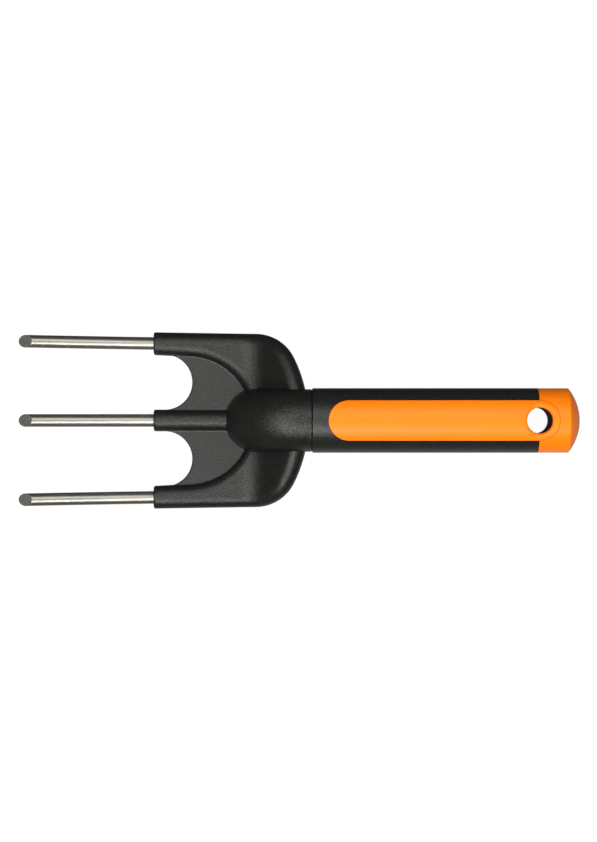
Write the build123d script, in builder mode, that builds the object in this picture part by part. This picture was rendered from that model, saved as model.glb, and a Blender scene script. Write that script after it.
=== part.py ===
from build123d import *
import os
from math import asin, cos, degrees, radians, sin, tan

# A three-tined hand fork. A moulded head holds three steel tines, and its neck runs back into
# a handle made of a hard core, a soft sleeve, two hard inlays and a domed end cap.
#
# The handle's axis is the X axis, with the tines towards -X and the tail towards +X. +Z is up,
# and the tines sweep up. The origin is the centre of the hanging hole, on the handle's axis.
# All sizes are in millimetres and degrees.

# ---------------------------------------------------------------- fits
slide_fit = 0.1  # clearance on every face of two handle pieces that are put together
moulded_fit = 0.05  # what is left round a tine that the head is moulded onto

# ---------------------------------------------------------------- handle
hole_radius = 6.4
neck_end_to_hole = 113.0  # from the end of the neck, where the handle starts, to the hole
seam_width = 0.4  # the dark line between the neck and the handle
core_radius = 13.5
shell_thickness = 2.5  # of the inlays and the end cap
sleeve_proud = 0.05  # how far the soft sleeve stands out past the hard pieces
neck_step = 0.55  # how far the neck's end lies inside the sleeve's surface
sleeve_edge_round = 0.4
collar_width = 2.4  # of the ring at the core's front, which closes the seam behind the neck
collar_step = 0.2  # how far the collar lies inside the neck's surface

inlay_width = 20.0
inlay_front_to_hole = 104.5
inlay_edge_round = 0.3
hole_lip_round = 1.3
peg_radius = 2.0
peg_length = 5.0
front_peg_to_hole = 54.0
rear_peg_to_hole = 18.0
peg_seat = 1.0  # how far a peg runs into the inlay that it stands on

cap_length = 15.25  # from the hole's centre, where the sleeve ends, to the edge of the dome
cap_dome_height = 5.75
cap_dome_edge_round = 0.8
cap_front_round = 0.25
core_tail = 13.2  # how far the core goes into the cap
bead_from_tail = 1.6  # the ring that snaps into the core's groove
bead_width = 1.2
bead_height = 0.3

# ---------------------------------------------------------------- head
tine_level = -18.0  # height of the tines' roots, the web and the arms
arm_thickness = 11.0
arm_edge_land = 0.4  # the flat that is left between an arm's two rounded edges
mouth_to_neck_end = 79.75
mouth_round = 0.9
socket_half_width = 5.7
rib_radius = 5.5

crank_start = 35.3  # from the neck's end to where the arms begin to climb
crank_angle = 40.0
crank_radius = 18.5
shoulder_set_back = 1.3  # from the neck's end to the back of the shoulders
shoulder_radius = 71.3
shoulder_corner_radius = 22.0

web_thickness = 3.6
web_edge_round = 0.7
web_lap = 2.5  # how far the web runs into the arms
bay_inset = 1.1  # how far the bay's side stands in from the inner side of an outer socket
bay_back = 30.3  # from the neck's end to the back of the round bay between the arms
notch_lead = 11.7  # how far the centres of the web's two round notches lie in front of the bay's

neck_straight = 7.0
neck_bend_radius = 20.6  # of the neck's centre line, as it turns down to the web
neck_swell = 0.75  # how much the neck's radius grows from its end to its foot
neck_turn = 90.0
spigot_radius = 9.0
spigot_flat = 7.6  # from the axis to each of the two flats
spigot_length = 44.0
spigot_end_round = 1.5

# ---------------------------------------------------------------- tines
tine_radius = 3.2
tine_pitch = 39.0  # between neighbours at the mouths of their sockets
tine_splay = 0.9  # of each outer tine
tine_sweep_radius = 400.0
tine_reach = 64.7  # from the mouth of the socket to the middle of the cut end
tine_cut_angle = 45.0  # between the cut end and the tine's axis
tine_root = 36.0
groove_width = 3.0
groove_depth = 0.6
groove_pitch = 9.0
groove_count = 3

# ---------------------------------------------------------------- places that follow from these
shell_radius = core_radius + slide_fit + shell_thickness
sleeve_radius = shell_radius + sleeve_proud
neck_radius = sleeve_radius - neck_step
neck_foot_radius = neck_radius + neck_swell
neck_end_x = -neck_end_to_hole
handle_front_x = neck_end_x + seam_width
collar_radius = neck_radius - collar_step
collar_front_x = neck_end_x + slide_fit
collar_rear_x = collar_front_x + collar_width
mouth_x = neck_end_x - mouth_to_neck_end
crank_x = neck_end_x - crank_start
tail_x = cap_length + cap_dome_height
inlay_end_radius = inlay_width / 2
inlay_front_x = -inlay_front_to_hole + inlay_end_radius
arm_outer_y = tine_pitch + socket_half_width
arm_inner_y = tine_pitch - socket_half_width
bay_radius = arm_inner_y - bay_inset
bay_x = neck_end_x - bay_back - bay_radius
notch_x = bay_x - notch_lead
arm_low_z = tine_level - arm_thickness / 2
arm_top_z = tine_level + arm_thickness / 2
arm_narrowing = mouth_to_neck_end * tan(radians(tine_splay))
arm_waist = arm_outer_y - arm_narrowing - bay_radius  # the least width of an arm, beside the bay
arm_least = min(arm_thickness, 2 * socket_half_width, arm_waist)
arm_edge_radius = (arm_least - arm_edge_land) / 2
climb_run = 2 * crank_start  # along the slope, past the shoulders
notch_radius = (arm_inner_y - rib_radius) / 2 + moulded_fit
notch_y = (arm_inner_y + rib_radius) / 2
web_low_z = tine_level - web_thickness / 2
neck_foot_x = neck_end_x - neck_straight - neck_bend_radius
bead_x = core_tail - bead_from_tail - bead_width / 2
clear_of_all = 3 * mouth_to_neck_end  # longer than any cut needs
square_to_axis = 90.0
same_size = 1e-6  # how close two radii are when they count as the same

os.makedirs("parts", exist_ok=True)


def tine_plane(side):
    """The upright plane of one tine: x runs out of its socket, y is up; side is -1, 0 or 1."""
    splay = radians(tine_splay * side)
    outwards = (-cos(splay), sin(splay), 0)
    across = (sin(splay), cos(splay), 0)
    return Plane(origin=(mouth_x, side * tine_pitch, tine_level), x_dir=outwards, z_dir=across)


def root_outline(plane, spare, overrun):
    """Half section of a grooved tine root, made bigger by spare, from its end to overrun."""
    radius = tine_radius + spare
    first_groove = -groove_pitch * groove_count
    with BuildSketch(plane) as outline:
        with BuildLine():
            Polyline(
                (-tine_root - spare, 0),
                (-tine_root - spare, radius),
                (overrun, radius),
                (overrun, 0),
                close=True,
            )
        make_face()
        for number in range(groove_count):
            groove_x = first_groove + groove_pitch * number
            with Locations((groove_x, radius - groove_depth / 2)):
                Rectangle(groove_width - 2 * spare, groove_depth, mode=Mode.SUBTRACT)
    return outline.sketch


def root_axis(plane):
    """The axis of the root that lies in this plane."""
    return Axis(plane.origin, plane.x_dir)


def is_arc(edge, radius):
    """Whether an edge is an arc of this radius."""
    return edge.geom_type == GeomType.CIRCLE and abs(edge.radius - radius) < same_size


def spigot_section(spare):
    """The round spigot's section with its two flats, made bigger by spare all round."""
    with BuildSketch() as section:
        Circle(spigot_radius + spare)
        Rectangle(2 * (spigot_radius + spare), 2 * (spigot_flat + spare), mode=Mode.INTERSECT)
    return section.sketch


def inlay_outline(spare):
    """The inlay's outline in plan, with round ends, made bigger by spare all round."""
    with BuildSketch() as outline:
        with Locations((inlay_front_x / 2, 0)):
            SlotCenterToCenter(-inlay_front_x, inlay_width + 2 * spare)
    return outline.sketch


# ---------------------------------------------------------------- web
# A flat plate between the arms and the middle rib, with a round notch beside the rib's mouth.
with BuildPart() as web:
    with BuildSketch(Plane.XY.offset(web_low_z)):
        with Locations((bay_x, 0)):
            Circle(bay_radius + web_lap)
        with Locations((notch_x, 0)):
            Rectangle(clear_of_all, clear_of_all, align=(Align.MIN, Align.CENTER), mode=Mode.INTERSECT)
        with Locations((notch_x, -notch_y), (notch_x, notch_y)):
            Circle(notch_radius, mode=Mode.SUBTRACT)
    extrude(amount=web_thickness)
    fillet(web.edges().filter_by(lambda edge: is_arc(edge, notch_radius)), web_edge_round)

# ---------------------------------------------------------------- neck
# A round bar that swells as it turns down onto the web, with the spigot that fits the handle.
with BuildPart() as neck:
    with BuildLine(Plane.XZ) as neck_line:
        straight = Line((neck_end_x, 0), (neck_end_x - neck_straight, 0))
        bend = JernArc(straight @ 1, (-1, 0), neck_bend_radius, neck_turn)
    with BuildSketch(Plane.YZ.offset(neck_end_x)):
        Circle(neck_radius)
    with BuildSketch(Plane.XY.offset(-neck_bend_radius)):
        with Locations((neck_foot_x, 0)):
            Circle(neck_foot_radius)
    sweep(path=neck_line.line, multisection=True)
    with BuildSketch(Plane.XY.offset(-neck_bend_radius)):
        with Locations((neck_foot_x, 0)):
            Circle(neck_foot_radius)
    extrude(amount=-neck_foot_radius)
    split(bisect_by=Plane.XY.offset(web_low_z), keep=Keep.TOP)
    with BuildSketch(Plane.YZ.offset(neck_end_x)):
        add(spigot_section(0))
    extrude(amount=spigot_length)
    fillet(neck.faces().sort_by(Axis.X)[-1].edges(), spigot_end_round)

# ---------------------------------------------------------------- head
# The arms are one slab. It is bent up in side view, cut to the outline in plan, and its edges
# are rolled all round. The ends of the arms are then as round as the sockets that they form.
with BuildPart() as head:
    half_turn = tan(radians(crank_angle / 2))
    climb = climb_run * Vector(cos(radians(crank_angle)), sin(radians(crank_angle)))
    low_corner = Vector(crank_x + (crank_radius + arm_thickness) * half_turn, arm_low_z)
    top_corner = Vector(crank_x + crank_radius * half_turn, arm_top_z)
    with BuildSketch(Plane.XZ) as side_view:
        with BuildLine():
            Polyline(
                (mouth_x, arm_low_z),
                low_corner,
                low_corner + climb,
                top_corner + climb,
                top_corner,
                (mouth_x, arm_top_z),
                close=True,
            )
        make_face()
        fillet(side_view.vertices().sort_by_distance(top_corner)[0], crank_radius)
        fillet(side_view.vertices().sort_by_distance(low_corner)[0], crank_radius + arm_thickness)
    extrude(amount=2 * arm_outer_y, both=True)

    with BuildSketch() as plan_view:
        with Locations((neck_end_x - shoulder_set_back - shoulder_radius, 0)):
            Circle(shoulder_radius)
        with BuildLine():
            Polyline(
                (mouth_x, -arm_outer_y),
                (neck_end_x, arm_narrowing - arm_outer_y),
                (neck_end_x, arm_outer_y - arm_narrowing),
                (mouth_x, arm_outer_y),
                close=True,
            )
        make_face(mode=Mode.INTERSECT)
        fillet(plan_view.vertices().group_by(Axis.X)[-1], shoulder_corner_radius)
        with BuildSketch(mode=Mode.SUBTRACT) as bay:
            with Locations((bay_x, 0)):
                Circle(bay_radius)
            with Locations((mouth_x - socket_half_width, 0)):
                Rectangle(socket_half_width, 2 * arm_inner_y)
            make_hull()
    extrude(amount=clear_of_all, both=True, mode=Mode.INTERSECT)

    mouth_edges = head.edges().group_by(Axis.X)[0]
    seams = head.edges().filter_by(Axis.Y) + head.edges().filter_by(Axis.Z)
    fillet(head.edges() - mouth_edges - seams, arm_edge_radius)

    # The middle socket is a round rib that runs into the foot of the neck.
    with BuildSketch(Plane.YZ.offset(mouth_x)):
        with Locations((0, tine_level)):
            Circle(rib_radius)
    extrude(amount=neck_foot_x - mouth_x)
    with Locations((neck_foot_x, 0, tine_level)):
        Sphere(rib_radius)
    fillet(head.faces().group_by(Axis.X)[0].edges(), mouth_round)

    add(web.part)
    add(neck.part)

    # Each tine's grooved root is moulded in.
    for side in (-1, 0, 1):
        plane = tine_plane(side)
        hollow = root_outline(plane, moulded_fit, tine_root)
        revolve(hollow, axis=root_axis(plane), mode=Mode.SUBTRACT)

head.part.label = "head"
export_step(head.part, "parts/head.step")

# ---------------------------------------------------------------- tines
# The left tine is on the user's left, with the fork held out and its tines away from the user.
for side, place in ((-1, "left"), (0, "middle"), (1, "right")):
    plane = tine_plane(side)
    tip_turn = asin(tine_reach / tine_sweep_radius)
    spare_turn = 2 * tine_radius / tan(radians(tine_cut_angle)) / tine_sweep_radius
    cut_turn = tip_turn + radians(square_to_axis - tine_cut_angle)
    tip_height = tine_sweep_radius * (1 - cos(tip_turn))
    with BuildPart() as tine:
        revolve(root_outline(plane, 0, 0), axis=root_axis(plane))
        with BuildLine(plane) as sweep_line:
            JernArc((0, 0), (1, 0), tine_sweep_radius, degrees(tip_turn + spare_turn))
        with BuildSketch(Plane(plane.origin, z_dir=plane.x_dir)):
            Circle(tine_radius)
        sweep(path=sweep_line.line)
        cut_direction = plane.x_dir * cos(cut_turn) + plane.y_dir * sin(cut_turn)
        cut_centre = plane.from_local_coords((tine_reach, tip_height, 0))
        split(bisect_by=Plane(cut_centre, z_dir=cut_direction), keep=Keep.BOTTOM)
    tine.part.label = f"tine_{place}"
    export_step(tine.part, f"parts/tine_{place}.step")

# ---------------------------------------------------------------- handle core
with BuildPart() as grip_core:
    with BuildSketch(Plane.XZ) as half_section:
        with BuildLine():
            Polyline(
                (collar_front_x, 0),
                (collar_front_x, collar_radius),
                (collar_rear_x, collar_radius),
                (collar_rear_x, core_radius),
                (core_tail, core_radius),
                (core_tail, 0),
                close=True,
            )
        make_face()
        with Locations((bead_x, core_radius)):
            Rectangle(bead_width + 2 * slide_fit, 2 * bead_height, mode=Mode.SUBTRACT)
    revolve(axis=Axis.X)
    with BuildSketch(Plane.YZ.offset(collar_front_x)):
        add(spigot_section(slide_fit))
    extrude(amount=spigot_length, mode=Mode.SUBTRACT)
    for side in (-1, 1):
        with BuildSketch(Plane.XY.offset(side * core_radius)):
            with Locations((-front_peg_to_hole, 0), (-rear_peg_to_hole, 0)):
                Circle(peg_radius + slide_fit)
        extrude(amount=-side * (peg_length + slide_fit), mode=Mode.SUBTRACT)
    with Locations((0, 0, core_radius)):
        Hole(hole_radius)

grip_core.part.label = "grip_core"
export_step(grip_core.part, "parts/grip_core.step")

# ---------------------------------------------------------------- soft sleeve
with BuildPart() as soft_grip:
    with BuildSketch(Plane.YZ.offset(handle_front_x)):
        Circle(sleeve_radius)
        Circle(core_radius + slide_fit, mode=Mode.SUBTRACT)
    extrude(amount=-handle_front_x - slide_fit)
    fillet(soft_grip.edges().group_by(Axis.X)[0].sort_by(SortBy.RADIUS)[-1], sleeve_edge_round)
    with BuildSketch(Plane.YZ.offset(handle_front_x)):
        Circle(collar_radius + slide_fit)
    extrude(amount=collar_rear_x + slide_fit - handle_front_x, mode=Mode.SUBTRACT)
    with BuildSketch() as window:
        add(inlay_outline(slide_fit))
    extrude(amount=clear_of_all, both=True, mode=Mode.SUBTRACT)

soft_grip.part.label = "soft_grip"
export_step(soft_grip.part, "parts/soft_grip.step")

# ---------------------------------------------------------------- inlays
for side, place in ((1, "top"), (-1, "bottom")):
    with BuildPart() as inlay:
        with BuildSketch(Plane.YZ.offset(-inlay_front_to_hole)):
            Circle(shell_radius)
            Circle(core_radius + slide_fit, mode=Mode.SUBTRACT)
        extrude(amount=inlay_front_to_hole + inlay_end_radius)
        with BuildSketch():
            add(inlay_outline(0))
        extrude(amount=side * clear_of_all, mode=Mode.INTERSECT)
        with BuildSketch():
            Circle(hole_radius)
        extrude(amount=side * clear_of_all, mode=Mode.SUBTRACT)
        outside = inlay.faces().filter_by(GeomType.CYLINDER).sort_by(Axis.Z)[-1 if side > 0 else 0]
        fillet(outside.outer_wire().edges(), inlay_edge_round)
        outside = inlay.faces().filter_by(GeomType.CYLINDER).sort_by(Axis.Z)[-1 if side > 0 else 0]
        fillet(outside.inner_wires()[0].edges(), hole_lip_round)
        with BuildSketch(Plane.XY.offset(side * (core_radius - peg_length))):
            with Locations((-front_peg_to_hole, 0), (-rear_peg_to_hole, 0)):
                Circle(peg_radius)
        extrude(amount=side * (peg_length + slide_fit + peg_seat))
    inlay.part.label = f"{place}_inlay"
    export_step(inlay.part, f"parts/{place}_inlay.step")

# ---------------------------------------------------------------- end cap
with BuildPart() as end_cap:
    with BuildSketch(Plane.XZ) as half_section:
        with BuildLine():
            Polyline(
                (tail_x, 0),
                (core_tail + slide_fit, 0),
                (core_tail + slide_fit, core_radius + slide_fit),
                (0, core_radius + slide_fit),
                (0, shell_radius),
                (cap_length, shell_radius),
            )
            TangentArc((tail_x, 0), (cap_length, shell_radius), tangent=(0, 1))
        make_face()
        corners = half_section.vertices()
        fillet(corners.sort_by_distance((cap_length, shell_radius))[0], cap_dome_edge_round)
        fillet(corners.sort_by_distance((0, shell_radius))[0], cap_front_round)
        with Locations((bead_x, core_radius + slide_fit)):
            Rectangle(bead_width, 2 * bead_height)
    revolve(axis=Axis.X)
    with BuildSketch():
        add(inlay_outline(slide_fit))
    extrude(amount=clear_of_all, both=True, mode=Mode.SUBTRACT)

end_cap.part.label = "end_cap"
export_step(end_cap.part, "parts/end_cap.step")
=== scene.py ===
"""Dresses a three-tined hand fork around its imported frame, and lights it on a pale floor."""

from __future__ import annotations

import logging
import math
from dataclasses import dataclass, field
from enum import Enum

import bmesh
import bpy
from mathutils import Matrix, Vector

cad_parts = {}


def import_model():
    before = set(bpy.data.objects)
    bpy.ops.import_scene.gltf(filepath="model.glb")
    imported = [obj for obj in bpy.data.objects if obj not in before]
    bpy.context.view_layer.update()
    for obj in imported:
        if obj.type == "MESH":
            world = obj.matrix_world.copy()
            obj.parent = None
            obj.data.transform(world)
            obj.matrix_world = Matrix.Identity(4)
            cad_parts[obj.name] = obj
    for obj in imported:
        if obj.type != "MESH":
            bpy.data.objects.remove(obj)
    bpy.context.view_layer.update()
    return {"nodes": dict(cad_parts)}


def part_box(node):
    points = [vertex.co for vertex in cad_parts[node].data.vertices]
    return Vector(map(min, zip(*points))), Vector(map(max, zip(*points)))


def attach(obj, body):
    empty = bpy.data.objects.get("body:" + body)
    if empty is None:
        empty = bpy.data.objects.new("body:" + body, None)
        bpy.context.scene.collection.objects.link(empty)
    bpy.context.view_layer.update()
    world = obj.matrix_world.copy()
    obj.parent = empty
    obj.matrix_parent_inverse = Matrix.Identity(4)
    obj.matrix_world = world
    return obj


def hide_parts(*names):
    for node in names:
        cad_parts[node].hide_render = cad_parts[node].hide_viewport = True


MM = 0.001
BODY = "root"
X_AXIS, Y_AXIS, Z_AXIS = Vector((1, 0, 0)), Vector((0, 1, 0)), Vector((0, 0, 1))
Z_TO_X = Matrix.Rotation(math.pi / 2, 4, "Y")
# A place in metres is rounded to this many digits, a thousandth of a millimetre, to be compared.
PLACE_DIGITS = 6
# Nearly all values of a noise pattern lie between these two.
NOISE_LOW, NOISE_HIGH = 0.3, 0.7

Nodes = dict[str, bpy.types.Object]

log = logging.getLogger("hand_fork")


class Slot(Enum):
    """Names of material slots. No piece in this script takes them."""

    HEAD = "moulded_head"
    TINE = "steel_tine"
    CORE = "hard_core"


class Side(Enum):
    """Where a tine stands in the head, as the side of the middle plane that it is on."""

    LEFT = -1
    MIDDLE = 0
    RIGHT = 1


# ---------------------------------------------------------------- nodes, colours and objects
def linear(colour: str) -> tuple[float, float, float, float]:
    """Turns an sRGB hex colour into linear RGBA.

    Args:
        colour: The colour as "#rrggbb".

    Returns:
        Its red, green and blue in linear light, with an alpha of 1.
    """
    parts = [int(colour[i : i + 2], 16) / 255 for i in (1, 3, 5)]
    light = [c / 12.92 if c <= 0.04045 else ((c + 0.055) / 1.055) ** 2.4 for c in parts]
    return (*light, 1.0)


def add_node(
    tree: bpy.types.NodeTree, kind: str, inputs: dict | None = None, **settings: object
) -> bpy.types.Node:
    """Adds a node to a tree.

    Args:
        tree: The node tree that takes the node.
        kind: The node's type.
        inputs: For each input, by name or number, its value or the output that feeds it.
        **settings: The node's own properties.

    Returns:
        The new node.
    """
    node = tree.nodes.new(kind)
    for name, value in settings.items():
        setattr(node, name, value)
    for name, value in (inputs or {}).items():
        if isinstance(value, bpy.types.NodeSocket):
            tree.links.new(value, node.inputs[name])
        else:
            node.inputs[name].default_value = value
    return node


def blank_material(name: str) -> tuple[bpy.types.Material, bpy.types.NodeTree]:
    """Makes a material with an empty node tree.

    Args:
        name: The material's name.

    Returns:
        The material and its tree.
    """
    material = bpy.data.materials.new(name)
    material.use_nodes = True
    material.node_tree.nodes.clear()
    return material, material.node_tree


def add_object(
    name: str, mesh: bmesh.types.BMesh, materials: list[bpy.types.Material]
) -> bpy.types.Object:
    """Puts a finished mesh into the scene as an object, and frees the mesh.

    Args:
        name: The object's name, which its mesh data gets too.
        mesh: The finished mesh.
        materials: The object's materials, in the order of the mesh's material numbers.

    Returns:
        The new object.
    """
    data = bpy.data.meshes.new(name)
    mesh.to_mesh(data)
    mesh.free()
    for material in materials:
        data.materials.append(material)
    made = bpy.data.objects.new(name, data)
    bpy.context.scene.collection.objects.link(made)
    log.info("made %s of %d faces", name, len(data.polygons))
    return made


def dress(nodes: Nodes, name: str, material: bpy.types.Material) -> None:
    """Gives a CAD node its finish, through its material slot.

    Args:
        nodes: The frame's nodes.
        name: The node to dress.
        material: The finish that it gets.
    """
    nodes[name].material_slots[0].material = material
    log.info("dressed %s in %s", name, material.name)


# ---------------------------------------------------------------- finishes
@dataclass(frozen=True)
class MouldedPlastic:
    """A plastic that was injection moulded in a tool with a spark-eroded or blasted skin.

    The tool's pits leave small soft bumps all over. Each tips the light a little, so the eye sees
    one wide soft highlight that breaks up into a fine sparkle. The colour goes all through, and
    clouds by a few percent where the melt flowed.

    The real pits are 0.1 to 0.2 mm across. They are drawn 2 to 5 times coarser, because they are
    too fine to show otherwise. A pit's own spot is lighter or darker by up to
    pit_shade_and_sparkle, in its
    colour and in its reflection: painted shade in the pits and a painted sparkle. red_glow_gain
    raises the red past what the surface can send back, a painted red glow that keeps the shaded
    sides red.
    """

    name: str
    colour: str
    roughness: float
    ior: float
    grain_mm: float
    grain_depth_mm: float
    specular: float = 0.5
    # How much lighter or darker a pit's colour and reflection are: painted shade and painted
    # sparkle.
    pit_shade_and_sparkle: float = 0.0
    # How far the red is raised past full: a painted red glow.
    red_glow_gain: float = 1.0
    cloud_mm: float = 14.0
    cloud_shade: float = 0.05
    roughness_spread: float = 0.04

    def pigment(self) -> tuple[float, float, float]:
        """The pigment's colour in linear light, its red raised by red_glow_gain into a painted
        glow.
        """
        red, green, blue, _ = linear(self.colour)
        return (red * self.red_glow_gain, green, blue)

    def make(self) -> bpy.types.Material:
        """Builds the material.

        Returns:
            The material.
        """
        material, tree = blank_material(self.name)
        place = add_node(tree, "ShaderNodeTexCoord").outputs["Object"]
        grain = add_node(
            tree,
            "ShaderNodeTexNoise",
            {"Vector": place, "Scale": 1 / (self.grain_mm * MM), "Detail": 1.0, "Roughness": 0.6},
        )
        cloud = add_node(
            tree,
            "ShaderNodeTexNoise",
            {"Vector": place, "Scale": 1 / (self.cloud_mm * MM), "Detail": 3.0},
        )
        # Painted shade in the pits and painted sparkle: each pit lighter or darker by up to
        # pit_shade_and_sparkle.
        painted_pit_specks = add_node(
            tree,
            "ShaderNodeMapRange",
            {
                "Value": grain.outputs["Fac"],
                "From Min": NOISE_LOW,
                "From Max": NOISE_HIGH,
                "To Min": 1 - self.pit_shade_and_sparkle,
                "To Max": 1 + self.pit_shade_and_sparkle,
            },
        )
        shade = add_node(
            tree,
            "ShaderNodeMapRange",
            {
                "Value": cloud.outputs["Fac"],
                "To Min": 1 - self.cloud_shade,
                "To Max": 1 + self.cloud_shade,
            },
        )
        both = add_node(
            tree,
            "ShaderNodeMath",
            {0: painted_pit_specks.outputs["Result"], 1: shade.outputs["Result"]},
            operation="MULTIPLY",
        )
        tone = add_node(
            tree,
            "ShaderNodeVectorMath",
            {0: self.pigment(), "Scale": both.outputs["Value"]},
            operation="SCALE",
        )
        # The pits also scale the reflection's strength: a painted sparkle.
        painted_sparkle = add_node(
            tree,
            "ShaderNodeVectorMath",
            {0: (1.0, 1.0, 1.0), "Scale": painted_pit_specks.outputs["Result"]},
            operation="SCALE",
        )
        rough = add_node(
            tree,
            "ShaderNodeMapRange",
            {
                "Value": cloud.outputs["Fac"],
                "To Min": self.roughness - self.roughness_spread,
                "To Max": self.roughness + self.roughness_spread,
            },
        )
        bump = add_node(
            tree,
            "ShaderNodeBump",
            {"Height": grain.outputs["Fac"], "Distance": self.grain_depth_mm * MM, "Strength": 1.0},
        )
        surface = add_node(
            tree,
            "ShaderNodeBsdfPrincipled",
            {
                "Base Color": tone.outputs["Vector"],
                "Roughness": rough.outputs["Result"],
                "IOR": self.ior,
                "Specular IOR Level": self.specular,
                "Specular Tint": painted_sparkle.outputs["Vector"],
                "Normal": bump.outputs["Normal"],
            },
        )
        add_node(tree, "ShaderNodeOutputMaterial", {"Surface": surface.outputs["BSDF"]})
        return material


@dataclass(frozen=True)
class BareSteel:
    """Stainless steel without a coat, marked by the way in which it was worked.

    A mark shades its own spot and tips its reflection. The two shades are the shares of the
    steel's colour that the darkest and the lightest marks have.
    """

    name: str
    colour: str
    roughness: float
    mark_mm: float
    mark_depth_mm: float
    shades: tuple[float, float]

    def cover(self, tree: bpy.types.NodeTree, marks: bpy.types.NodeSocket) -> None:
        """Covers the steel with a pattern of marks, and closes its tree.

        Args:
            tree: The material's node tree.
            marks: The output that gives the pattern.
        """
        shade = add_node(
            tree,
            "ShaderNodeMapRange",
            {
                "Value": marks,
                "From Min": NOISE_LOW,
                "From Max": NOISE_HIGH,
                "To Min": self.shades[0],
                "To Max": self.shades[1],
            },
        )
        tone = add_node(
            tree,
            "ShaderNodeVectorMath",
            {0: linear(self.colour)[:3], "Scale": shade.outputs["Result"]},
            operation="SCALE",
        )
        bump = add_node(
            tree,
            "ShaderNodeBump",
            {"Height": marks, "Distance": self.mark_depth_mm * MM, "Strength": 1.0},
        )
        surface = add_node(
            tree,
            "ShaderNodeBsdfPrincipled",
            {
                "Base Color": tone.outputs["Vector"],
                "Metallic": 1.0,
                "Roughness": self.roughness,
                "Normal": bump.outputs["Normal"],
            },
        )
        add_node(tree, "ShaderNodeOutputMaterial", {"Surface": surface.outputs["BSDF"]})


@dataclass(frozen=True)
class DrawnSteel(BareSteel):
    """Stainless steel rod, drawn through a die and brushed along its length.

    The die and the belt leave fine lines that run along the rod. They spread each reflection
    across the rod but not along it, so the eye sees long steady streaks of light and dark.

    The real lines are about 0.02 mm apart, and are drawn coarser so that they show.
    """

    name: str = "drawn_stainless_rod"
    colour: str = "#b9b6af"
    roughness: float = 0.36
    mark_mm: float = 0.45
    mark_depth_mm: float = 0.005
    shades: tuple[float, float] = (0.7, 1.0)
    mark_length_mm: float = 60.0

    def make(self, along: str) -> bpy.types.Material:
        """Builds the material.

        Args:
            along: The attribute that holds each point's place on the rod before it was bent.

        Returns:
            The material.
        """
        material, tree = blank_material(self.name)
        place = add_node(tree, "ShaderNodeAttribute", attribute_name=along)
        lengthways, across = 1 / (self.mark_length_mm * MM), 1 / (self.mark_mm * MM)
        stretched = add_node(
            tree,
            "ShaderNodeMapping",
            {"Vector": place.outputs["Vector"], "Scale": (lengthways, across, across)},
        )
        lines = add_node(
            tree,
            "ShaderNodeTexNoise",
            {"Vector": stretched.outputs["Vector"], "Scale": 1.0, "Detail": 2.0},
        )
        self.cover(tree, lines.outputs["Fac"])
        return material


@dataclass(frozen=True)
class SawnSteel(BareSteel):
    """The end of a steel rod, left as the saw cut it.

    The saw leaves a dull face with small faint marks all over, so the eye sees an even grey disc
    beside the bright rod.

    The real marks are about 0.1 mm across, and are drawn coarser so that they show.
    """

    name: str = "sawn_stainless_end"
    colour: str = "#a9a9a6"
    roughness: float = 0.6
    mark_mm: float = 0.6
    mark_depth_mm: float = 0.03
    shades: tuple[float, float] = (0.55, 1.45)

    def make(self) -> bpy.types.Material:
        """Builds the material.

        Returns:
            The material.
        """
        material, tree = blank_material(self.name)
        place = add_node(tree, "ShaderNodeTexCoord").outputs["Object"]
        marks = add_node(
            tree,
            "ShaderNodeTexNoise",
            {"Vector": place, "Scale": 1 / (self.mark_mm * MM), "Detail": 3.0},
        )
        self.cover(tree, marks.outputs["Fac"])
        return material


# Glass-filled nylon, moulded in a coarsely spark-eroded tool: dull black with a grey sparkle, from
# its bumps and from painted pit shade and sparkle.
NYLON = MouldedPlastic(
    name="glass_filled_nylon",
    colour="#1e1e1d",
    roughness=0.32,
    ior=1.53,
    grain_mm=0.45,
    grain_depth_mm=0.15,
    pit_shade_and_sparkle=0.53,
)
# Thermoplastic elastomer, moulded over the core: a softer, duller black than the nylon, with the
# same painted pit shade and sparkle.
ELASTOMER = MouldedPlastic(
    name="moulded_elastomer",
    colour="#20201f",
    roughness=0.36,
    ior=1.50,
    grain_mm=0.45,
    grain_depth_mm=0.1,
    specular=0.62,
    pit_shade_and_sparkle=0.5,
)
# Polypropylene in a satin tool: an even orange with one wide faint sheen. Its red is raised past
# full into a painted glow that keeps its shaded sides red.
ORANGE = MouldedPlastic(
    name="satin_polypropylene",
    colour="#ff9f0a",
    roughness=0.37,
    ior=1.49,
    grain_mm=0.5,
    grain_depth_mm=0.004,
    specular=0.34,
    red_glow_gain=1.7,
)
# Black polypropylene, seen only down the hanging hole and in the seam behind the neck, where it is
# all but lightless. Its colour and sheen are darker than the real black: painted shade for that
# deep shade.
CORE_BLACK_AND_SHADE = MouldedPlastic(
    name="core_polypropylene_and_shade",
    colour="#080605",
    roughness=0.75,
    ior=1.49,
    grain_mm=0.5,
    grain_depth_mm=0.01,
    specular=0.1,
)


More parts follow.
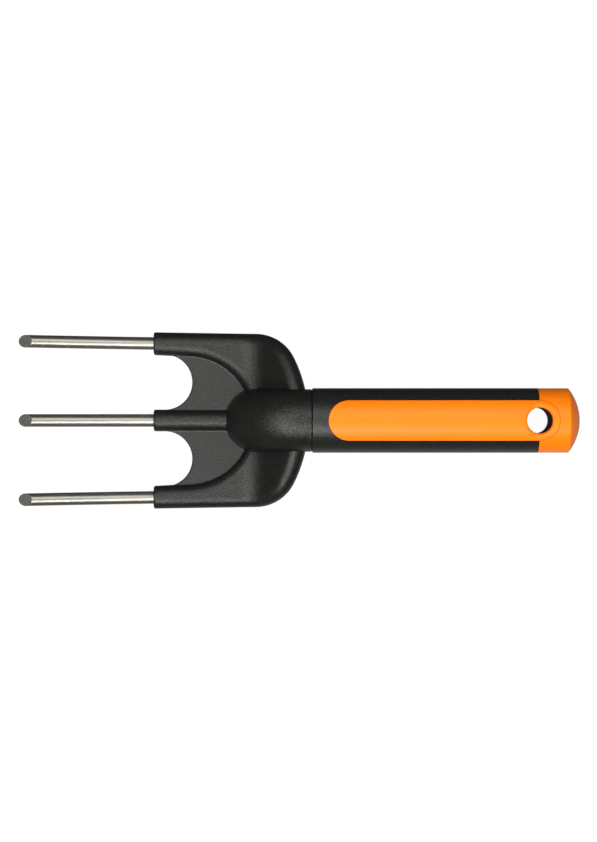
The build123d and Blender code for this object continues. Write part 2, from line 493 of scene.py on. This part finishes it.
# ---------------------------------------------------------------- sub-assemblies
@dataclass
class Head:
    """The moulded head: its arms, sockets, web and neck are one piece.

    The web is a hair thicker along the foot of every wall that stands on it. This low slope lies
    between the web's face and the wall, and catches the light as a thin line.

    A face is level where its normal's z is over level_z. An edge lies on the web where it is
    within web_slack of its height. It is a wall's foot where the two faces that meet in it turn
    inwards by more than foot_turn.
    """

    node: str = "head"
    slope_width: float = 0.6 * MM
    slope_rise: float = 0.2 * MM
    merge_distance: float = 0.001 * MM
    web_slack: float = 0.02 * MM
    height_digits: int = 5
    level_z: float = 0.999
    foot_turn: float = math.radians(45)
    finish: MouldedPlastic = NYLON

    def web_level(self, mesh: bmesh.types.BMesh) -> float:
        """Finds the height of the web's flat top, which is the head's largest level face.

        Args:
            mesh: The head's merged mesh.

        Returns:
            The height of the web's top.
        """
        areas: dict[float, float] = {}
        for face in mesh.faces:
            if face.normal.z > self.level_z:
                height = round(face.calc_center_median().z, self.height_digits)
                areas[height] = areas.get(height, 0.0) + face.calc_area()
        return max(areas, key=areas.get)

    def wall_feet(self, mesh: bmesh.types.BMesh) -> dict[bmesh.types.BMEdge, Vector]:
        """Finds the edges where walls stand on the web.

        Args:
            mesh: The head's merged mesh.

        Returns:
            Each such edge, with its wall's outward normal.
        """
        level = self.web_level(mesh)
        feet = {}
        for edge in mesh.edges:
            off_web = any(abs(vert.co.z - level) > self.web_slack for vert in edge.verts)
            if off_web or len(edge.link_faces) != 2:
                continue
            web = [face for face in edge.link_faces if face.normal.z > self.level_z]
            if len(web) == 1 and edge.calc_face_angle_signed() < -self.foot_turn:
                wall = next(face for face in edge.link_faces if face is not web[0])
                feet[edge] = wall.normal.copy()
        return feet

    def keep_edges(self, mesh: bmesh.types.BMesh, kept: set[bmesh.types.BMEdge]) -> None:
        """Deletes all of a mesh but some of its edges and their ends.

        Args:
            mesh: The mesh.
            kept: The edges that stay.
        """
        rest = [edge for edge in mesh.edges if edge not in kept]
        bmesh.ops.delete(mesh, geom=list(mesh.faces), context="FACES_ONLY")
        bmesh.ops.delete(mesh, geom=[edge for edge in rest if edge.is_valid], context="EDGES")
        loose = [vert for vert in mesh.verts if not vert.link_edges]
        bmesh.ops.delete(mesh, geom=loose, context="VERTS")

    def foot_slopes(self, nodes: Nodes) -> bmesh.types.BMesh:
        """Makes the low slopes at the walls' feet, from the feet's own edges.

        The feet's edges are extruded into strips. A strip's new side moves out onto the web, and
        its old side moves up the wall.

        Args:
            nodes: The frame's nodes.

        Returns:
            The slopes, as one mesh.
        """
        mesh = bmesh.new()
        mesh.from_mesh(nodes[self.node].data)
        bmesh.ops.remove_doubles(mesh, verts=mesh.verts, dist=self.merge_distance)
        mesh.normal_update()
        feet = self.wall_feet(mesh)
        outwards: dict[bmesh.types.BMVert, Vector] = {}
        for edge, normal in feet.items():
            for vert in edge.verts:
                outwards[vert] = outwards.get(vert, Vector()) + normal
        self.keep_edges(mesh, set(feet))
        foot_row = list(mesh.verts)
        normals = {tuple(vert.co): outwards[vert].normalized() for vert in foot_row}
        made = bmesh.ops.extrude_edge_only(mesh, edges=list(mesh.edges))["geom"]
        for vert in (item for item in made if isinstance(item, bmesh.types.BMVert)):
            normal = normals[tuple(vert.co)]
            out = Vector((normal.x, normal.y, 0)).normalized() * self.slope_width
            bmesh.ops.translate(mesh, verts=[vert], vec=out)
        for vert in foot_row:
            normal = normals[tuple(vert.co)]
            up = (Z_AXIS - normal * normal.z).normalized() * self.slope_rise
            bmesh.ops.translate(mesh, verts=[vert], vec=up)
        mesh.normal_update()
        bmesh.ops.reverse_faces(mesh, faces=[face for face in mesh.faces if face.normal.z < 0])
        for face in mesh.faces:
            face.smooth = True
        return mesh

    def build(self, nodes: Nodes) -> None:
        """Dresses the head and adds the slopes at its walls' feet.

        Args:
            nodes: The frame's nodes.
        """
        finish = self.finish.make()
        dress(nodes, self.node, finish)
        slopes = add_object("web_foot_slopes", self.foot_slopes(nodes), [finish])
        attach(slopes, BODY)


@dataclass
class Tines:
    """The three steel rods, each swept up in an arc from its socket to its sawn end.

    Each rod is made along its own axis, from the grooved root that sits in the head. Its own frame
    has x out of the socket, z up and its origin at the socket's mouth. The rods' radius, places
    and reach are taken from the frame.
    """

    sweep_radius: float = 400.0 * MM
    splay: float = math.radians(0.9)
    cut_angle: float = math.radians(45.0)
    root_length: float = 36.0 * MM
    groove_width: float = 3.0 * MM
    groove_depth: float = 0.6 * MM
    groove_pitch: float = 9.0 * MM
    groove_count: int = 3
    burr: float = 0.12 * MM
    burr_rows: int = 2
    facets: int = 72
    row_length: float = 2.5 * MM
    sharp_edge: float = math.radians(30.0)
    reach_rounds: int = 6
    sawn_material: int = 1
    along: str = "along_rod"
    rod_finish: DrawnSteel = field(default_factory=DrawnSteel)
    end_finish: SawnSteel = field(default_factory=SawnSteel)
    radius: float = field(init=False)
    pitch: float = field(init=False)
    level: float = field(init=False)
    mouth_x: float = field(init=False)
    end_reach: float = field(init=False)
    end_turn: float = field(init=False)

    def __post_init__(self) -> None:
        """Takes the rods' radius, places and reach from the frame's boxes."""
        low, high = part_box("tine_middle")
        self.radius = (high.y - low.y) / 2
        self.mouth_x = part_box("head")[0].x
        self.level = low.z + self.radius
        root_drift = self.root_length * math.sin(self.splay)
        outer_low_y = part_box("tine_right")[0].y
        self.pitch = outer_low_y + self.radius * math.cos(self.splay) + root_drift
        self.end_reach = self.find_end(self.mouth_x - low.x)
        self.end_turn = math.asin(self.end_reach / self.sweep_radius)
        log.info("tines: radius %.2f mm, pitch %.2f mm", self.radius / MM, self.pitch / MM)

    def find_end(self, rod_reach: float) -> float:
        """Finds how far the middle of the cut end lies from the socket.

        The cut slopes, so the rod reaches further out than the middle of its end. How much further
        depends on how far the arc has turned there, so each round comes closer.

        Args:
            rod_reach: How far the rod reaches out of the socket in all.

        Returns:
            How far the middle of its end does.
        """
        reach = rod_reach
        for _ in range(self.reach_rounds):
            lean = math.asin(reach / self.sweep_radius) + math.pi / 2 - self.cut_angle
            reach = rod_reach - self.radius / math.sin(self.cut_angle) * math.sin(lean)
        return reach

    def carry_on(
        self, mesh: bmesh.types.BMesh, ring: list[bmesh.types.BMEdge], run: float, radius: float
    ) -> list[bmesh.types.BMEdge]:
        """Extrudes a ring of edges along the rod to a new radius.

        Args:
            mesh: The rod's mesh.
            ring: The ring's edges.
            run: How far the new ring lies from the old one.
            radius: The new ring's radius.

        Returns:
            The new ring's edges.
        """
        old = max(math.hypot(vert.co.y, vert.co.z) for edge in ring for vert in edge.verts)
        made = bmesh.ops.extrude_edge_only(mesh, edges=ring)["geom"]
        verts = [item for item in made if isinstance(item, bmesh.types.BMVert)]
        bmesh.ops.scale(mesh, verts=verts, vec=(1, radius / old, radius / old))
        bmesh.ops.translate(mesh, verts=verts, vec=(run, 0, 0))
        kept = set(verts)
        edges = [item for item in made if isinstance(item, bmesh.types.BMEdge)]
        return [edge for edge in edges if kept.issuperset(edge.verts)]

    def root(self, mesh: bmesh.types.BMesh) -> list[bmesh.types.BMEdge]:
        """Makes the straight root, with its grooves, up to the socket's mouth.

        Args:
            mesh: The rod's mesh, still empty.

        Returns:
            The edges of the ring at the mouth.
        """
        start = Matrix.Translation((-self.root_length, 0, 0)) @ Z_TO_X
        bmesh.ops.create_circle(
            mesh, cap_ends=True, radius=self.radius, segments=self.facets, matrix=start
        )
        plain = self.root_length - self.groove_pitch * self.groove_count - self.groove_width / 2
        waist = self.radius - self.groove_depth
        ring = self.carry_on(mesh, list(mesh.edges), plain, self.radius)
        for _ in range(self.groove_count):
            ring = self.carry_on(mesh, ring, 0, waist)
            ring = self.carry_on(mesh, ring, self.groove_width, waist)
            ring = self.carry_on(mesh, ring, 0, self.radius)
            ring = self.carry_on(mesh, ring, self.groove_pitch - self.groove_width, self.radius)
        return self.carry_on(mesh, ring, self.groove_width / 2, self.radius)

    def sweep_up(self, mesh: bmesh.types.BMesh, ring: list[bmesh.types.BMEdge]) -> None:
        """Carries the rod on along its arc, to a little past its sawn end.

        Args:
            mesh: The rod's mesh.
            ring: The edges of the ring at the socket's mouth.
        """
        spare = 2 * self.radius / math.tan(self.cut_angle) / self.sweep_radius
        sweep = self.end_turn + spare
        bmesh.ops.spin(
            mesh,
            geom=ring,
            cent=Z_AXIS * self.sweep_radius,
            axis=-Y_AXIS,
            angle=sweep,
            steps=round(self.sweep_radius * sweep / self.row_length),
        )

    def saw_off(self, mesh: bmesh.types.BMesh) -> None:
        """Cuts the rod's end off at a slant, closes it and rounds its rim, as filed free of burrs.

        Args:
            mesh: The rod's mesh, which gets its sawn face in the second material.
        """
        cut_turn = self.end_turn + math.pi / 2 - self.cut_angle
        cut = bmesh.ops.bisect_plane(
            mesh,
            geom=[*mesh.verts, *mesh.edges, *mesh.faces],
            plane_co=(self.end_reach, 0, self.sweep_radius * (1 - math.cos(self.end_turn))),
            plane_no=(math.cos(cut_turn), 0, math.sin(cut_turn)),
            clear_outer=True,
        )["geom_cut"]
        rim = [item for item in cut if isinstance(item, bmesh.types.BMEdge)]
        end = bmesh.ops.contextual_create(mesh, geom=rim)["faces"][0]
        bmesh.ops.recalc_face_normals(mesh, faces=mesh.faces)
        # The quads round the rod are smooth. The discs at its two ends are flat.
        for face in mesh.faces:
            face.smooth = len(face.verts) <= 4
        end.material_index = self.sawn_material
        # A profile of 0.5 is round, and a material of -1 leaves each new face its neighbour's.
        bmesh.ops.bevel(
            mesh,
            geom=rim,
            offset=self.burr,
            offset_type="OFFSET",
            affect="EDGES",
            segments=self.burr_rows,
            profile=0.5,
            material=-1,
        )
        for edge in mesh.edges:
            edge.smooth = edge.calc_face_angle(0) < self.sharp_edge

    def straightened(self, point: Vector) -> Vector:
        """Finds where a point of the rod was before the rod was bent.

        Args:
            point: The point, in the rod's own frame.

        Returns:
            Its place on the straight rod.
        """
        if point.x <= 0:
            return point
        height = self.sweep_radius - point.z
        run = self.sweep_radius * math.atan2(point.x, height)
        return Vector((run, point.y, self.sweep_radius - math.hypot(point.x, height)))

    def rod(self) -> bmesh.types.BMesh:
        """Makes one rod in its own frame.

        Returns:
            The rod's mesh, with each point's place on the straight rod in an attribute.
        """
        mesh = bmesh.new()
        self.sweep_up(mesh, self.root(mesh))
        self.saw_off(mesh)
        layer = mesh.verts.layers.float_vector.new(self.along)
        for vert in mesh.verts:
            vert[layer] = self.straightened(vert.co)
        return mesh

    def build(self) -> None:
        """Makes the three rods in place of their CAD nodes."""
        finishes = [self.rod_finish.make(self.along), self.end_finish.make()]
        for side in Side:
            name = f"tine_{side.name.lower()}"
            splay = self.splay * side.value
            outwards = Vector((-math.cos(splay), math.sin(splay), 0))
            place = Matrix((outwards, Z_AXIS.cross(outwards), Z_AXIS)).transposed().to_4x4()
            place.translation = (self.mouth_x, side.value * self.pitch, self.level)
            mesh = self.rod()
            mesh.transform(place)
            rod = add_object(f"{name}_rod", mesh, finishes)
            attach(rod, BODY)
            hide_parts(name)


@dataclass
class Handle:
    """The handle: a hard core, a soft sleeve, two orange inlays and a domed cap.

    The neck stands against the core's collar, and a thin black ring closes the joint, as the
    glue does, so that no light comes through it.
    """

    core: str = "grip_core"
    sleeve: str = "soft_grip"
    shells: tuple[str, ...] = ("top_inlay", "bottom_inlay", "end_cap")
    core_finish_and_shade: MouldedPlastic = CORE_BLACK_AND_SHADE
    sleeve_finish: MouldedPlastic = ELASTOMER
    shell_finish: MouldedPlastic = ORANGE
    joint_x: float = -113.0 * MM
    joint_width: float = 0.1 * MM
    joint_inner_radius: float = 9.2 * MM
    joint_outer_radius: float = 15.25 * MM
    joint_facets: int = 96

    def joint_ring(self) -> bmesh.types.BMesh:
        """Makes the thin ring between the neck and the core's collar.

        Returns:
            The ring's mesh.
        """
        mesh = bmesh.new()
        for radius in (self.joint_inner_radius, self.joint_outer_radius):
            bmesh.ops.create_circle(mesh, radius=radius, segments=self.joint_facets)
        flat = bmesh.ops.bridge_loops(mesh, edges=list(mesh.edges))["faces"]
        grown = bmesh.ops.extrude_face_region(mesh, geom=flat)["geom"]
        raised = [item for item in grown if isinstance(item, bmesh.types.BMVert)]
        bmesh.ops.translate(mesh, verts=raised, vec=Z_AXIS * self.joint_width)
        mesh.transform(Matrix.Translation(X_AXIS * self.joint_x) @ Z_TO_X)
        bmesh.ops.recalc_face_normals(mesh, faces=list(mesh.faces))
        return mesh

    def build(self, nodes: Nodes) -> None:
        """Dresses the handle's five pieces and closes its joint with the neck.

        Args:
            nodes: The frame's nodes.
        """
        core_finish_and_shade = self.core_finish_and_shade.make()
        dress(nodes, self.core, core_finish_and_shade)
        # The ring takes the core's black, darkened with painted shade.
        ring = add_object("neck_joint_ring", self.joint_ring(), [core_finish_and_shade])
        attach(ring, BODY)
        dress(nodes, self.sleeve, self.sleeve_finish.make())
        shell_finish = self.shell_finish.make()
        for shell in self.shells:
            dress(nodes, shell, shell_finish)


# ---------------------------------------------------------------- stage
def resting_line(nodes: Nodes) -> tuple[Vector, Vector]:
    """Finds the two points, in side view, on which the tool lies.

    Args:
        nodes: The frame's nodes, at rest.

    Returns:
        The front and the rear point, as (x, z) in metres, of the stretch of the lower hull that is
        under the middle of the tool.
    """
    corners = [vert.co for node in nodes.values() for vert in node.data.vertices]
    points = sorted({(round(c.x, PLACE_DIGITS), round(c.z, PLACE_DIGITS)) for c in corners})
    hull: list[Vector] = []
    for point in map(Vector, points):
        while len(hull) > 1 and (hull[-1] - hull[-2]).cross(point - hull[-2]) <= 0:
            hull.pop()
        hull.append(point)
    middle = (points[0][0] + points[-1][0]) / 2
    rear = next(i for i, point in enumerate(hull) if point.x > middle)
    return hull[rear - 1], hull[rear]


@dataclass(frozen=True)
class SoftBox:
    """A soft box that hangs over the tool and faces it.

    Its lean is in degrees from straight up, towards -Y and towards the tail. Its size is in
    metres, along the tool and across it, and its glow is the radiance of its face. Its light is
    a little warm.
    """

    name: str
    lean_near: float
    lean_tail: float
    size: tuple[float, float]
    glow: float
    distance: float = 1.6
    aim_x: float = -0.12
    tint: tuple[float, float, float] = (1.0, 1.0, 0.96)

    def hang(self) -> None:
        """Hangs the box, out of the camera's sight."""
        data = bpy.data.lights.new(self.name, "AREA")
        data.shape = "RECTANGLE"
        data.size, data.size_y = self.size
        data.energy = self.glow * math.pi * self.size[0] * self.size[1]
        data.color = self.tint
        lamp = bpy.data.objects.new(self.name, data)
        bpy.context.scene.collection.objects.link(lamp)
        near, tail = math.radians(self.lean_near), math.radians(self.lean_tail)
        share = math.cos(tail)
        towards = Vector((math.sin(tail), -math.sin(near) * share, math.cos(near) * share))
        lamp.location = Vector((self.aim_x, 0, 0)) + towards * self.distance
        across = towards.cross(X_AXIS).normalized()
        turn = Matrix((across.cross(towards), across, towards)).transposed()
        lamp.rotation_euler = turn.to_euler()
        lamp.visible_camera = False
        log.info("hung %s", self.name)


SOFT_BOXES = (
    SoftBox("near_box", lean_near=36, lean_tail=-5, size=(0.72, 0.36), glow=12.0),
    SoftBox("near_high_box", lean_near=14, lean_tail=-2, size=(0.72, 0.36), glow=1.8),
    SoftBox("far_box", lean_near=-26, lean_tail=5, size=(0.68, 0.95), glow=2.4),
    SoftBox("tine_box", lean_near=2, lean_tail=-22, size=(0.36, 1.0), glow=5.2),
    SoftBox("wide_tine_box", lean_near=6, lean_tail=-28, size=(1.0, 1.35), glow=0.5),
    SoftBox("tail_box", lean_near=6, lean_tail=36, size=(0.34, 0.68), glow=2.5),
)


@dataclass
class Stage:
    """The pale floor, the soft lights, the room's light and the camera.

    The floor is a white board that glows evenly, as on a light table. It is seen, but it neither
    lights nor shades the tool. The light that it would send up comes from the room instead, and
    is strong on the near side (-Y) and faint on the far side. This light sets in where a
    direction's z falls through low_band, and it is the near side's where its y falls through
    near_band. The camera sees an even pale backdrop in place of the room.
    """

    floor_radius: float = 3.0
    floor_facets: int = 96
    floor_colour: str = "#4c4c4c"
    floor_roughness: float = 0.9
    floor_glow: float = 0.97
    camera_place_mm: tuple[float, float, float] = (-119.45, -0.27, 1300.0)
    camera_lens: float = 111.16
    camera_sensor: float = 36.0
    room_tint: tuple[float, float, float, float] = (1.0, 1.0, 0.92, 1.0)
    room_glow: float = 0.1
    bounce_near: float = 0.45
    bounce_far: float = 0.03
    low_band: tuple[float, float] = (-0.2, -0.75)
    near_band: tuple[float, float] = (0.6, 0.0)
    backdrop: tuple[float, float, float, float] = (0.95, 0.95, 0.95, 1.0)

    def board(self) -> bpy.types.Material:
        """Builds the floor's material: a matt board that its own even glow makes white.

        The board itself is grey, so that the lamps leave no brighter patches on it.

        Returns:
            The material.
        """
        material, tree = blank_material("matt_white_board")
        surface = add_node(
            tree,
            "ShaderNodeBsdfPrincipled",
            {
                "Base Color": linear(self.floor_colour),
                "Roughness": self.floor_roughness,
                "Emission Color": (1, 1, 1, 1),
                "Emission Strength": self.floor_glow,
            },
        )
        add_node(tree, "ShaderNodeOutputMaterial", {"Surface": surface.outputs["BSDF"]})
        return material

    def floor(self, nodes: Nodes) -> None:
        """Lays the floor where the tool rests on it.

        Args:
            nodes: The frame's nodes, at rest.
        """
        front, rear = resting_line(nodes)
        slope = math.atan2(rear.y - front.y, rear.x - front.x)
        mesh = bmesh.new()
        bmesh.ops.create_circle(
            mesh, cap_ends=True, radius=self.floor_radius, segments=self.floor_facets
        )
        turn = Matrix.Rotation(-slope, 4, "Y")
        mesh.transform(Matrix.Translation((front.x, 0, front.y)) @ turn)
        floor = add_object("floor", mesh, [self.board()])
        floor.visible_glossy = False
        floor.visible_diffuse = False
        floor.visible_shadow = False

    def lights(self) -> None:
        """Hangs the soft boxes."""
        for box in SOFT_BOXES:
            box.hang()

    def room(self) -> None:
        """Sets the room's own light, and the backdrop that the camera sees."""
        world = bpy.data.worlds.new("room")
        bpy.context.scene.world = world
        world.use_nodes = True
        tree = world.node_tree
        tree.nodes.clear()
        path = add_node(tree, "ShaderNodeLightPath")
        place = add_node(tree, "ShaderNodeTexCoord")
        axes = add_node(tree, "ShaderNodeSeparateXYZ", {0: place.outputs["Generated"]})
        low, near = (
            add_node(
                tree,
                "ShaderNodeMapRange",
                {"Value": axes.outputs[axis], "From Min": band[0], "From Max": band[1]},
                interpolation_type="SMOOTHSTEP",
            )
            for axis, band in (("Z", self.low_band), ("Y", self.near_band))
        )
        bounce = add_node(
            tree,
            "ShaderNodeMapRange",
            {
                "Value": near.outputs["Result"],
                "To Min": self.bounce_far,
                "To Max": self.bounce_near,
            },
        )
        glow = add_node(
            tree,
            "ShaderNodeMix",
            {"Factor": low.outputs["Result"], "A": self.room_glow, "B": bounce.outputs["Result"]},
            data_type="FLOAT",
        )
        room = add_node(
            tree,
            "ShaderNodeBackground",
            {"Color": self.room_tint, "Strength": glow.outputs["Result"]},
        )
        seen = add_node(tree, "ShaderNodeBackground", {"Color": self.backdrop})
        both = add_node(
            tree,
            "ShaderNodeMixShader",
            {"Fac": path.outputs["Is Camera Ray"], 1: room.outputs[0], 2: seen.outputs[0]},
        )
        add_node(tree, "ShaderNodeOutputWorld", {"Surface": both.outputs[0]})

    def camera(self) -> None:
        """Hangs the camera straight above the tool."""
        data = bpy.data.cameras.new("camera")
        data.lens = self.camera_lens
        data.sensor_width = self.camera_sensor
        data.sensor_fit = "AUTO"
        camera = bpy.data.objects.new("camera", data)
        camera.location = Vector(self.camera_place_mm) * MM
        bpy.context.scene.collection.objects.link(camera)
        bpy.context.scene.camera = camera


def main() -> None:
    logging.basicConfig(level=logging.INFO)
    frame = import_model()
    nodes = frame["nodes"]
    Head().build(nodes)
    Tines().build()
    Handle().build(nodes)
    stage = Stage()
    stage.floor(nodes)
    stage.lights()
    stage.room()
    stage.camera()
    bpy.context.scene.view_settings.view_transform = "Standard"


if __name__ == "__main__":
    main()
